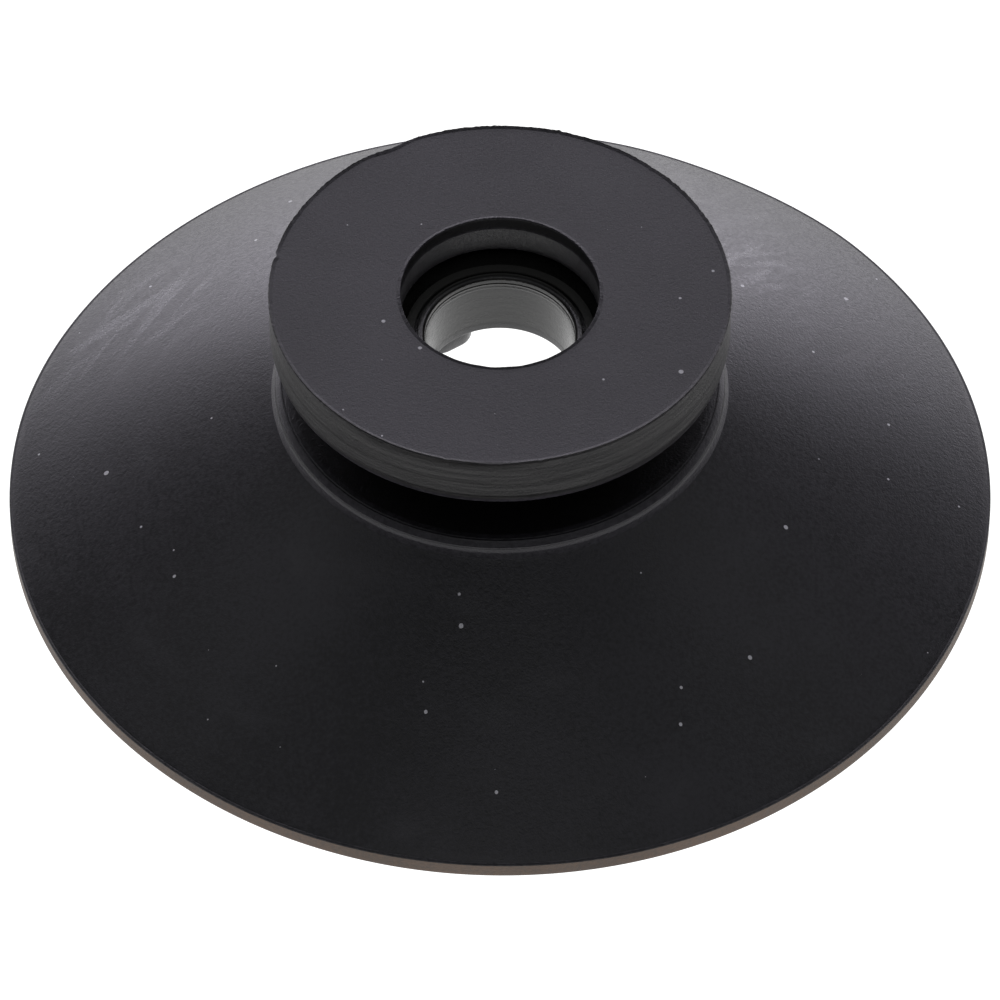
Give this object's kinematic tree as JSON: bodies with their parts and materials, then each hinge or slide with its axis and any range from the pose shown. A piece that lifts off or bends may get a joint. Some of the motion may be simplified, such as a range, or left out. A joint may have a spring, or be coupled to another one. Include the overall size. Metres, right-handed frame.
{
  "type": "vacuum suction cup",
  "caption": "Wide conical rubber suction cup with a thin sealing lip, a grooved round neck and a stepped through bore for a push-in fitting.",
  "frame": {"origin": "on the cup's axis, in the plane of the sealing lip's contact face", "axes": "+Z along the axis from the lip to the neck; X and Y are equal"},
  "size_m": [0.1, 0.1, 0.03],
  "materials": {
    "cup_rubber": "matte moulded black nitrile rubber",
    "lip_edge_rubber": "matte trimmed edge, slightly brown"
  },
  "bodies": {
    "lip": {"sealing_lip": "lip_edge_rubber", "skirt_wall": "cup_rubber"},
    "shoulder": {"shoulder_ring": "cup_rubber", "support_cleat_1": "cup_rubber", "support_cleat_2": "cup_rubber", "support_cleat_3": "cup_rubber"},
    "neck_middle": {"neck_lower": "cup_rubber"},
    "flange": {"neck_upper": "cup_rubber", "neck_flange": "cup_rubber"}
  },
  "joints": [
    {"name": "cup_stroke", "type": "slide", "parent": "lip", "child": "shoulder", "axis": [0, 0, -1], "range_m": [0, 0.006], "stiffness_N_per_m": 3000, "deforming": ["skirt_wall"]},
    {"name": "neck_bend_x", "type": "hinge", "parent": "shoulder", "child": "neck_middle", "pos_m": [0, 0, 0.0192], "axis": [1, 0, 0], "range_deg": [-3, 3], "stiffness_Nm_per_rad": 0.4, "deforming": ["neck_lower"]},
    {"name": "neck_bend_y", "type": "hinge", "parent": "neck_middle", "child": "flange", "pos_m": [0, 0, 0.0224], "axis": [0, 1, 0], "range_deg": [-3, 3], "stiffness_Nm_per_rad": 0.4, "deforming": ["neck_upper"]}
  ]
}
